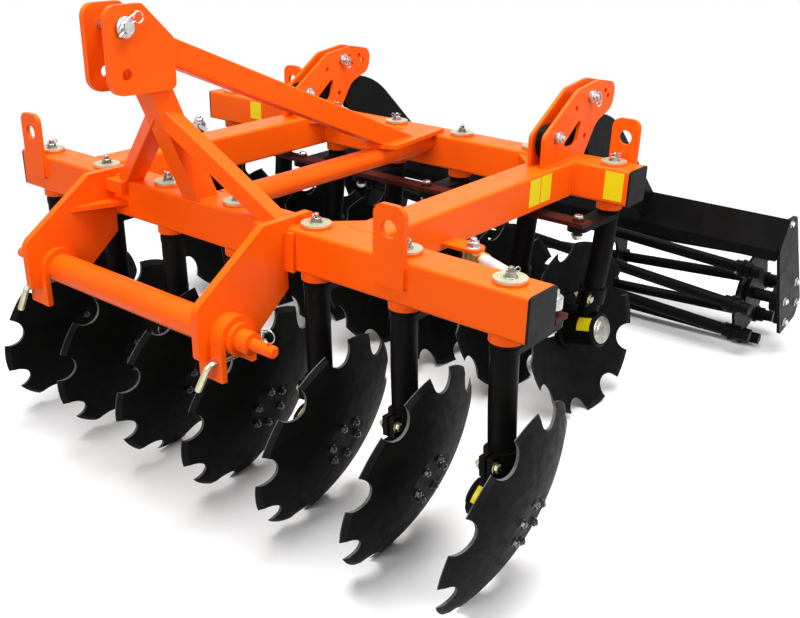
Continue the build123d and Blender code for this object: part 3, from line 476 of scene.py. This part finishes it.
BRONZE = metal("yellow_plated_steel", *PLATED_YELLOW, rough=0.34)
LEG = leg_paint()

NODE_MATERIALS = {
    "orange_paint": ORANGE,
    "black_paint": BLACK,
    "red_brown_paint": RED_BROWN,
    "zinc": ZINC,
    "yellow_zinc": CREAM_ZINC,
    "black_plastic": PLUG,
}


def dress(name, material):
    """Every material slot of a CAD node set to one material."""
    mesh_object = frame["nodes"][name]
    if not mesh_object.material_slots:
        mesh_object.data.materials.append(material)
    for slot in mesh_object.material_slots:
        slot.material = material


for subpart in frame["record"]["subparts"]:
    if subpart["material_slot"] in NODE_MATERIALS:
        dress(subpart["node"], NODE_MATERIALS[subpart["material_slot"]])
for row, (legs, row_y, side) in ROWS.items():
    bracket_pin = at(side * BRACKET[0], row_y + side * BRACKET[1], TURNBUCKLE_Z)
    dress(f"{row}_turnbuckle", turnbuckle_paint(f"turnbuckle_{row}", bracket_pin))
    for number, leg_x in enumerate(legs, 1):
        dress(f"{row}_leg_{number}", LEG)
        steel = disc_steel(f"disc_steel_{row}_{number}", disc_centre(leg_x, row_y, side), disc_axis(side))
        dress(f"{row}_disc_{number}", steel)


# Forms
def piece(name, bm, material, body, smooth=True):
    """A mesh piece that rides on a body."""
    mesh = bpy.data.meshes.new(name)
    bmesh.ops.recalc_face_normals(bm, faces=bm.faces)
    bm.to_mesh(mesh)
    bm.free()
    mesh.materials.append(material)
    made = bpy.data.objects.new(name, mesh)
    bpy.context.collection.objects.link(made)
    if smooth:
        mesh.shade_smooth()
        mesh.set_sharp_from_angle(angle=SHARP_ANGLE)
    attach(made, body)


def frame_on(origin, axis):
    """Matrix that puts local Z along an axis at an origin."""
    turn = Vector(axis).to_track_quat("Z", "Y").to_matrix().to_4x4()
    return Matrix.Translation(origin) @ turn


def join_rings(bm, rings, closed=False):
    """Faces between rings of vertices, with end caps unless the rings close on themselves."""
    count = len(rings[0])
    pairs = list(zip(rings, rings[1:]))
    if closed:
        pairs.append((rings[-1], rings[0]))
    for low, high in pairs:
        for k in range(count):
            bm.faces.new((low[k], low[(k + 1) % count], high[(k + 1) % count], high[k]))
    if not closed:
        bm.faces.new(list(reversed(rings[0])))
        bm.faces.new(rings[-1])


def circle(radius, height, sides):
    """Points of a regular polygon round local Z, sizes in millimetres, points in metres."""
    points = []
    for k in range(sides):
        turn = 2 * math.pi * k / sides
        points.append(Vector((radius * math.cos(turn), radius * math.sin(turn), height)) / 1000)
    return points


def lathe(bm, matrix, profile, sides):
    """A turned form from (radius, height) points in millimetres, closed at both ends."""
    rings = []
    for radius, height in profile:
        rings.append([bm.verts.new(matrix @ point) for point in circle(radius, height, sides)])
    join_rings(bm, rings)


def hexagon(bm, matrix, radius, height, start=0.0):
    """A hexagon head or nut with its top corners turned off."""
    top = start + height
    chamfer = HEXAGON_CHAMFER * radius
    lathe(bm, matrix, ((radius, start), (radius, top - chamfer), (radius - chamfer, top)), sides=6)


def bolt(bm, matrix, kind):
    """Washer, hexagon and the stud's end, with the sizes of one of the nuts and bolts."""
    radius, height, stud, washer = kind
    edge = washer * radius
    inset, drop = WASHER_CHAMFER
    lathe(bm, matrix, ((edge, 0), (edge, WASHER_THICK - drop), (edge - inset, WASHER_THICK)), sides=20)
    hexagon(bm, matrix, radius, height, WASHER_THICK)
    if stud:
        tip = WASHER_THICK + height + stud
        thread = STUD_SHARE * radius
        end = ((thread, tip - STUD_CHAMFER), (thread - STUD_CHAMFER, tip))
        lathe(bm, matrix, ((thread, WASHER_THICK), *end), sides=16)


def tube(bm, points, radius, closed=False):
    """A round wire along points in metres."""
    rings = []
    count = len(points)
    for k, point in enumerate(points):
        before = points[(k - 1) % count] if closed or k else point
        after = points[(k + 1) % count] if closed or k < count - 1 else point
        turn = (after - before).normalized().to_track_quat("Z", "Y")
        rings.append([bm.verts.new(point + turn @ spoke) for spoke in circle(radius, 0, WIRE_SIDES)])
    join_rings(bm, rings, closed)


def weld(bm, start, end, radius):
    """A rippled bead between two points in metres."""
    length = (end - start).length * 1000
    count = max(4, int(length / BEAD_RIPPLE) * 3)
    turn = (end - start).normalized().to_track_quat("Z", "Y")
    rings = []
    for k in range(count + 1):
        share = k / count
        ripple = abs(math.sin(math.pi * share * length / BEAD_RIPPLE))
        swell = BEAD_VALLEY + (1 - BEAD_VALLEY) * ripple
        if k in (0, count):
            swell = BEAD_END
        spokes = circle(radius * swell, 0, BEAD_SIDES)
        rings.append([bm.verts.new(start.lerp(end, share) + turn @ spoke) for spoke in spokes])
    join_rings(bm, rings)


def arc(centre, first, second, radius, start, end, count):
    """Points on an arc in the plane of two unit vectors, radius in millimetres, angles in degrees."""
    points = []
    for k in range(count + 1):
        angle = math.radians(start + (end - start) * k / count)
        points.append(centre + (first * math.cos(angle) + second * math.sin(angle)) * radius / 1000)
    return points


# Legs and discs
def top_nut(bm, top, turn):
    """Nut on a leg's washer with the stud's end and a split pin."""
    bolt(bm, frame_on(top, UP), TOP_NUT)
    heading = Vector((math.cos(turn), math.sin(turn), 0))
    hole = top + UP * SPLIT_PIN_RISE / 1000
    eye = hole + heading * SPLIT_EYE / 1000
    tube(bm, [hole + heading * end / 1000 for end in SPLIT_PIN_ENDS], SPLIT_PIN_R)
    tube(bm, arc(eye, heading, UP, SPLIT_EYE_R, *SPLIT_EYE_ARC, count=12), SPLIT_EYE_WIRE_R)


def clamp_bolt(bm, x, y, foot):
    """Bolt through the ears of a leg's clamp, its head to the machine's left, on the leg's parabolic bow."""
    top = at(x, y, LEG_TOP)
    bow = Vector((foot.x - top.x, foot.y - top.y, 0)).normalized() * -LEG_BOW / 1000
    place = top.lerp(foot, CLAMP_PLACE) + bow * 4 * CLAMP_PLACE * (1 - CLAMP_PLACE)
    down = (foot - top + bow * 4 * (1 - 2 * CLAMP_PLACE)).normalized()
    ahead = (AHEAD - down * AHEAD.dot(down)).normalized()
    along = down.cross(ahead)
    middle = place + (ahead * CLAMP_REACH + down * CLAMP_DROP) / 1000
    half = along * CLAMP_HALF / 1000
    bolt(bm, frame_on(middle - half, -along), CLAMP_HEAD)
    bolt(bm, frame_on(middle + half, along), CLAMP_NUT)


def dust_cap(bm, centre, axis):
    """Domed sheet cap over a hub's end."""
    lathe(bm, frame_on(centre - axis * HUB_BACK / 1000, -axis), CAP_FLANGE + CAP_DOME, sides=36)


def disc_nuts(bm, centre, axis, phase):
    """Nuts on a disc's flat middle."""
    flat = frame_on(centre + axis * DISC_FACE / 1000, axis)
    for k in range(DISC_NUTS):
        turn = math.radians(360 / DISC_NUTS * k + phase)
        spot = Vector((math.cos(turn), math.sin(turn), 0)) * DISC_BOLT_CIRCLE / 1000
        bolt(bm, flat @ Matrix.Translation(spot), DISC_NUT)


def hub_sticker(bm, centre, axis):
    """Blank film bent round a hub housing, facing forward and up."""
    ahead = (HUB_STICKER_HEADING - axis * HUB_STICKER_HEADING.dot(axis)).normalized()
    across = axis.cross(ahead)
    low, high = FILM
    front, back = HUB_STICKER_BACK
    rings = []
    for k in range(HUB_STICKER_STEPS + 1):
        turn = math.radians(HUB_STICKER_SPAN * (k / HUB_STICKER_STEPS - 0.5))
        spoke = ahead * math.cos(turn) + across * math.sin(turn)
        ring = []
        for lift, along in ((low, front), (low, back), (high, back), (high, front)):
            ring.append(bm.verts.new(centre + (spoke * (HUB_R + lift) - axis * along) / 1000))
        rings.append(ring)
    join_rings(bm, rings)


def leg_hardware(row, number, x, y, side):
    """Bolts, cap and sticker of one leg and the nuts of its disc."""
    body = f"{row}_leg_{number}"
    axis = disc_axis(side)
    centre = disc_centre(x, y, side)
    bm = bmesh.new()
    top_nut(bm, at(x, y, WASHER_TOP), SPLIT_PIN_TURN + SPLIT_PIN_TURN_STEP * number)
    piece(f"{body}_top_nut", bm, STEEL, body)
    bm = bmesh.new()
    clamp_bolt(bm, x, y, centre)
    piece(f"{body}_clamp_bolt", bm, CREAM_ZINC, body)
    bm = bmesh.new()
    dust_cap(bm, centre, axis)
    piece(f"{body}_dust_cap", bm, STEEL, body)
    bm = bmesh.new()
    hub_sticker(bm, centre, axis)
    piece(f"{body}_sticker", bm, YELLOW, body)
    bm = bmesh.new()
    disc_nuts(bm, centre, axis, DISC_NUT_TURN + DISC_NUT_TURN_STEP * number)
    # The disc's nuts take zinc darkened as painted shade
    piece(f"{row}_disc_{number}_bolts", bm, ZINC_DARKENED_AS_PAINTED_SHADE, f"{row}_disc_{number}")


for row, (legs, row_y, side) in ROWS.items():
    for number, leg_x in enumerate(legs, 1):
        leg_hardware(row, number, leg_x, row_y, side)


# Row linkage
def eye_leg(legs, side):
    """X of the leg whose tie-bar pin carries the turnbuckle's eye."""
    return max(legs, key=lambda x: side * x)


def tie_bar_hardware(row, legs, row_y, side):
    """Hexagons on a tie bar's pins and the nut over the turnbuckle's eye."""
    y = row_y + side * ARM_LENGTH
    last = eye_leg(legs, side)
    bm = bmesh.new()
    for x in legs:
        if x != last:
            hexagon(bm, frame_on(at(x, y, TIE_HEAD_TOP), UP), *TIE_HEAD)
        bolt(bm, frame_on(at(x, y, TIE_PIN_FOOT), DOWN), TIE_FOOT_NUT)
    bolt(bm, frame_on(at(last, y, TURNBUCKLE_Z + TURNBUCKLE_EYE + EYE_NUT_GAP), UP), EYE_NUT)
    piece(f"{row}_tie_bar_bolts", bm, ZINC, f"{row}_tie_bar")


def turnbuckle_hardware(row, legs, row_y, side):
    """Nuts on the bracket's pin and the plated ring where the sleeve starts."""
    x, y = side * BRACKET[0], row_y + side * BRACKET[1]
    bm = bmesh.new()
    bolt(bm, frame_on(at(x, y, BRACKET_TOP), UP), BRACKET_NUT)
    bolt(bm, frame_on(at(x, y, BRACKET_PIN_FOOT), DOWN), BRACKET_FOOT_NUT)
    piece(f"{row}_bracket_nuts", bm, ZINC, "frame")
    start = at(x, y, TURNBUCKLE_Z)
    heading = (at(eye_leg(legs, side), row_y + side * ARM_LENGTH, TURNBUCKLE_Z) - start).normalized()
    ring = [(TURNBUCKLE_R + rise, along) for rise, along in SLEEVE_RING]
    bm = bmesh.new()
    lathe(bm, frame_on(start, heading), ring, sides=28)
    piece(f"{row}_turnbuckle_ring", bm, BRONZE, f"{row}_turnbuckle")


for row, (legs, row_y, side) in ROWS.items():
    tie_bar_hardware(row, legs, row_y, side)
    turnbuckle_hardware(row, legs, row_y, side)


# Hitch
def spring_clip(bm, hole, shank, across, length):
    """Spring clip: a straight shank through a pin and a coiled back over it."""
    along = shank * length / 1000
    rise = across * length / 1000
    tube(bm, [hole + along * end for end in CLIP_SHANK], CLIP_WIRE_R)
    bend = hole + along * CLIP_BEND
    tube(bm, arc(bend, shank, across, CLIP_BEND_R * length, *CLIP_BEND_ARC, count=18), CLIP_WIRE_R)
    low, high = (rise * share for share in CLIP_BACK)
    tube(bm, [bend + low, hole + high, hole + along * CLIP_BACK_END + low], CLIP_WIRE_R)


def top_link_clip():
    """Washers and spring clip of the top-link pin."""
    bm = bmesh.new()
    for way in SIDES.values():
        face = at(way * (TOP_PIN_END - TOP_WASHER_INSET), *TOP_PIN)
        lathe(bm, frame_on(face, (way, 0, 0)), TOP_WASHER, sides=28)
    hole = at(TOP_PIN_END - TOP_CLIP_INSET, *TOP_PIN)
    spring_clip(bm, hole, TOP_CLIP_SHANK, TOP_CLIP_ACROSS, TOP_CLIP)
    piece("top_link_clip", bm, ZINC, "frame")


def linch_pin(bm, knob, ring_way):
    """Linch pin: head, shank and its spring ring."""
    lathe(bm, frame_on(knob, DOWN), LINCH_HEAD + LINCH_SHANK, sides=16)
    middle = knob + (ring_way * LINCH_RING_R + DOWN * LINCH_RING_DROP) / 1000
    ring = arc(middle, ring_way, UP, LINCH_RING_R, *LINCH_RING_ARC, count=27)
    tube(bm, ring, LINCH_WIRE_R, closed=True)


def lock_pin_hardware(word, way):
    """Tail of one of the shaft's lock pins behind its strap, and the linch pin through it."""
    x, y, z = LOCK_PIN
    radius = LOCK_PIN_R + LOCK_PIN_COVER
    end = (LOCK_PIN_R - LOCK_PIN_CHAMFER, LOCK_PIN_TAIL)
    tail = ((radius, -LOCK_PIN_OVERLAP), (radius, LOCK_PIN_TAIL - LOCK_PIN_CHAMFER), end)
    bm = bmesh.new()
    lathe(bm, frame_on(at(way * x, y, z), BEHIND), tail, sides=24)
    piece(f"lock_pin_tail_{word}", bm, CREAM_ZINC, "frame")
    bm = bmesh.new()
    knob = at(way * x, y + LOCK_PIN_TAIL - LINCH_INSET, z + LINCH_RISE)
    linch_pin(bm, knob, Vector((way * LINCH_RING_WAY[0], LINCH_RING_WAY[1], 0)))
    piece(f"linch_pin_{word}", bm, ZINC, "frame")


top_link_clip()
for word, way in SIDES.items():
    lock_pin_hardware(word, way)


# Quadrants and roller
def quadrant_hardware(word, x):
    """Nuts on both faces of a quadrant and a spring clip in its stop pin."""
    reach = QUADRANT_HALF + BOLT_HEAD
    bm = bmesh.new()
    for y, z in (PIVOT, STOP):
        for way in SIDES.values():
            bolt(bm, frame_on(at(x + way * reach, y, z), (way, 0, 0)), QUADRANT_NUT)
    end = at(x + reach + STOP_CLIP_REACH, *STOP)
    spring_clip(bm, end, STOP_CLIP_SHANK, STOP_CLIP_ACROSS, STOP_CLIP)
    piece(f"quadrant_{word}_nuts", bm, ZINC, "frame")


def side_plate_bolts(word, way):
    """Bolts of a bearing and of the deflector's end on one side plate."""
    bm = bmesh.new()
    for k in range(BEARING_BOLTS):
        turn = math.radians(360 / BEARING_BOLTS * k + BEARING_BOLT_TURN)
        y = ROLLER[0] + BEARING_BOLT_CIRCLE * math.cos(turn)
        z = ROLLER[1] + BEARING_BOLT_CIRCLE * math.sin(turn)
        bolt(bm, frame_on(at(way * SIDE_PLATE_X, y, z), (way, 0, 0)), BEARING_BOLT)
    bolt(bm, frame_on(at(way * SIDE_PLATE_X, *CORNER_BOLT_PLACE), (way, 0, 0)), CORNER_BOLT)
    piece(f"side_plate_bolts_{word}", bm, ZINC, "roller_frame")


def tube_point(index, x):
    """Where a roller tube's axis crosses the plane of an X, from the roller's axis, in millimetres."""
    ends = [math.radians(360 / ROLLER_TUBES * index + turn) for turn in (0, ROLLER_TWIST)]
    share = (x + ROLLER_TUBE_X) / (2 * ROLLER_TUBE_X)
    y = (1 - share) * math.sin(ends[0]) + share * math.sin(ends[1])
    z = (1 - share) * math.cos(ends[0]) + share * math.cos(ends[1])
    return ROLLER_PITCH_R * y, -ROLLER_PITCH_R * z


def socket_bolts():
    """Bolts that hold the roller's tubes in the end spiders' sockets."""
    bm = bmesh.new()
    for way in SIDES.values():
        x = way * (SPIDER_X - SOCKET_BOLT_INSET)
        for index in range(ROLLER_TUBES):
            y, z = tube_point(index, x)
            radial = Vector((0, y, z)).normalized()
            outward = (Vector((way, 0, 0)).cross(radial) + radial * SOCKET_BOLT_LEAN).normalized()
            seat = at(x, ROLLER[0] + y, ROLLER[1] + z) + outward * (SOCKET_R - SOCKET_BOLT_SINK) / 1000
            bolt(bm, frame_on(seat, outward), SOCKET_BOLT)
    # The socket bolts take zinc darkened as painted shade
    piece("roller_socket_bolts", bm, ZINC_DARKENED_AS_PAINTED_SHADE, "roller")


for word, quadrant_x in QUADRANTS.items():
    quadrant_hardware(word, quadrant_x)
for word, way in SIDES.items():
    side_plate_bolts(word, way)
socket_bolts()


# Welds
def side_beam_welds(bm, way):
    """Upright and level beads where a side beam meets both cross beams."""
    middle = way * SIDE_BEAM_X
    reach = BEAM / 2 - BEAM_CORNER
    low, high = BEAM_BOTTOM + UPRIGHT_WELD_INSET, BEAM_TOP - UPRIGHT_WELD_INSET
    for y in (BEAM / 2, ROW_DISTANCE - BEAM / 2):
        for x in (middle - BEAM / 2, middle + BEAM / 2):
            weld(bm, at(x, y, low), at(x, y, high), WIDE_BEAD)
        for z in (BEAM_TOP - LEVEL_WELD_INSET, BEAM_BOTTOM + LEVEL_WELD_INSET):
            weld(bm, at(middle - reach, y, z), at(middle + reach, y, z), CORNER_BEAD)


def hitch_welds(bm, way):
    """A whole bead inside a hitch plate and stitches outside it, clear of the leg's washer."""
    inside, outside = way * (HITCH_X - HITCH_HALF), way * (HITCH_X + HITCH_HALF)
    weld(bm, at(inside, HITCH_WELD[0], BEAD_Z), at(inside, HITCH_WELD[1], BEAD_Z), WIDE_BEAD)
    for end in HITCH_WELD:
        weld(bm, at(outside, end * HITCH_STITCH, BEAD_Z), at(outside, end, BEAD_Z), THIN_BEAD)


def mast_welds(bm):
    """Beads round the mast post's foot and beside the top stay's foot."""
    for x in (MAST_HALF, -MAST_HALF):
        weld(bm, at(x, MAST_WELD[0], BEAD_Z), at(x, MAST_WELD[1], BEAD_Z), BEAD)
        weld(bm, at(x, STAY_WELD[0], STAY_WELD_Z), at(x, STAY_WELD[1], STAY_WELD_Z), THIN_BEAD)
    half, y = POST_WELD
    weld(bm, at(-half, y, BEAD_Z), at(half, y, BEAD_Z), BEAD)


def lug_welds(bm, x, y):
    """Beads down both edges of a lifting lug and along its foot."""
    low, high = LUG_BOTTOM + LUG_WELD_INSET, BEAM_TOP - BEAM_CORNER
    for edge in (x - LUG_HALF, x + LUG_HALF):
        weld(bm, at(edge, y, low), at(edge, y, high), BEAD)
    reach = LUG_HALF - LUG_WELD_INSET
    weld(bm, at(x - reach, y, LUG_BOTTOM), at(x + reach, y, LUG_BOTTOM), BEAD)


def quadrant_welds(bm, word, x):
    """Beads under a quadrant's faces, the right one's inner bead shorter beside a washer."""
    for way in SIDES.values():
        edge = x + way * QUADRANT_HALF
        start, end = QUADRANT_SHORT_WELD if word == "right" and way > 0 else QUADRANT_WELD
        weld(bm, at(edge, start, BEAD_Z), at(edge, end, BEAD_Z), BEAD)


def frame_welds():
    """Painted beads along the frame's joints."""
    bm = bmesh.new()
    for way in SIDES.values():
        side_beam_welds(bm, way)
        hitch_welds(bm, way)
    mast_welds(bm)
    for x, y in LUGS:
        lug_welds(bm, x, y)
    for word, x in QUADRANTS.items():
        quadrant_welds(bm, word, x)
    piece("frame_welds", bm, ORANGE, "frame")


frame_welds()


# Stickers
def sticker(name, corners):
    """A blank film patch on the frame, standing just off the face under it."""
    bm = bmesh.new()
    normal = (corners[1] - corners[0]).cross(corners[2] - corners[0]).normalized()
    rings = []
    for lift in FILM:
        rings.append([bm.verts.new(corner + normal * lift / 1000) for corner in corners])
    join_rings(bm, rings)
    piece(name, bm, YELLOW, "frame", smooth=False)


def beam_stickers():
    """Blank yellow patches on the rear beam's front face and on the left side beam."""
    y = ROW_DISTANCE - BEAM / 2
    for name, ((start, end), foot) in REAR_STICKERS.items():
        low = [at(start, y, foot), at(end, y, foot)]
        sticker(f"sticker_{name}", low + [at(end, y, STICKER_TOP), at(start, y, STICKER_TOP)])
    x = SIDE_BEAM_X + BEAM / 2
    for name, (start, end) in SIDE_STICKERS.items():
        low = [at(x, start, SIDE_STICKER_FOOT), at(x, end, SIDE_STICKER_FOOT)]
        sticker(f"sticker_{name}", low + [at(x, end, STICKER_TOP), at(x, start, STICKER_TOP)])


beam_stickers()


# Stage
def seen_directly(nodes, links):
    """1 for rays from the camera, mirrors and glass, else 0."""
    path = nodes.new("ShaderNodeLightPath")
    seen = path.outputs["Is Camera Ray"]
    for ray in ("Is Glossy Ray", "Is Transmission Ray"):
        either = nodes.new("ShaderNodeMath")
        either.operation = "MAXIMUM"
        links.new(seen, either.inputs[0])
        links.new(path.outputs[ray], either.inputs[1])
        seen = either.outputs[0]
    return seen


def floor_paint():
    """Pale floor that throws little light back up and fades into the white surroundings."""
    shader = Shader("pale_floor", rough=0.95, shine=0.0)
    seen = seen_directly(shader.nodes, shader.links)
    shader.set("Base Color", shader.mix(seen, FLOOR_BOUNCE, FLOOR_SEEN))
    reach = shader.vector("LENGTH", shader.place).outputs["Value"]
    shader.set("Alpha", shader.spread(reach, *FLOOR_FADE, to_low=1.0, to_high=0.0, smooth=True))
    return shader.material


def backdrop():
    """Level floor, larger than the reach of its fade."""
    bm = bmesh.new()
    bmesh.ops.create_grid(bm, x_segments=1, y_segments=1, size=2 * FLOOR_FADE[1])
    mesh = bpy.data.meshes.new("floor")
    bm.to_mesh(mesh)
    bm.free()
    mesh.materials.append(floor_paint())
    floor = bpy.data.objects.new("floor", mesh)
    bpy.context.collection.objects.link(floor)


def world_light():
    """Even surroundings, white where they are seen and dimmer as a light."""
    world = bpy.data.worlds.new("studio")
    bpy.context.scene.world = world
    world.use_nodes = True
    nodes = world.node_tree.nodes
    links = world.node_tree.links
    background = nodes["Background"]
    background.inputs["Color"].default_value = (1, 1, 1, 1)
    level = nodes.new("ShaderNodeMapRange")
    level.inputs["To Min"].default_value = WORLD_STRENGTH
    level.inputs["To Max"].default_value = 1.0
    links.new(seen_directly(nodes, links), level.inputs["Value"])
    links.new(level.outputs["Result"], background.inputs["Strength"])


def softbox(name, place, size, power):
    """A large area lamp aimed at the machine."""
    lamp = bpy.data.lights.new(name, "AREA")
    lamp.shape = "RECTANGLE"
    lamp.size, lamp.size_y = size
    lamp.energy = power
    made = bpy.data.objects.new(name, lamp)
    made.location = place
    made.rotation_euler = (LAMP_TARGET - Vector(place)).to_track_quat("-Z", "Y").to_euler()
    bpy.context.collection.objects.link(made)


def photo_camera():
    """Camera where the photo was taken from, solved from the photo's straight edges."""
    level = Vector((math.cos(CAMERA_YAW), math.sin(CAMERA_YAW), 0))
    away = Vector((math.sin(CAMERA_YAW), -math.cos(CAMERA_YAW), 0))
    back = away * math.cos(CAMERA_PITCH) + UP * math.sin(CAMERA_PITCH)
    rise = back.cross(level)
    right = level * math.cos(CAMERA_ROLL) + rise * math.sin(CAMERA_ROLL)
    top = rise * math.cos(CAMERA_ROLL) - level * math.sin(CAMERA_ROLL)
    data = bpy.data.cameras.new("camera")
    data.sensor_width = CAMERA_SENSOR
    data.lens = CAMERA_FOCAL / PHOTO_WIDTH * CAMERA_SENSOR
    data.shift_x, data.shift_y = CAMERA_SHIFT
    data.clip_end = CAMERA_CLIP
    camera = bpy.data.objects.new("camera", data)
    turn = Matrix((right, top, back)).transposed().to_4x4()
    camera.matrix_world = Matrix.Translation(at(*CAMERA_PLACE)) @ turn
    bpy.context.collection.objects.link(camera)
    bpy.context.scene.camera = camera


backdrop()
world_light()
for name, (place, size, power) in LAMPS.items():
    softbox(name, place, size, power)
photo_camera()
bpy.context.scene.view_settings.view_transform = "Standard"
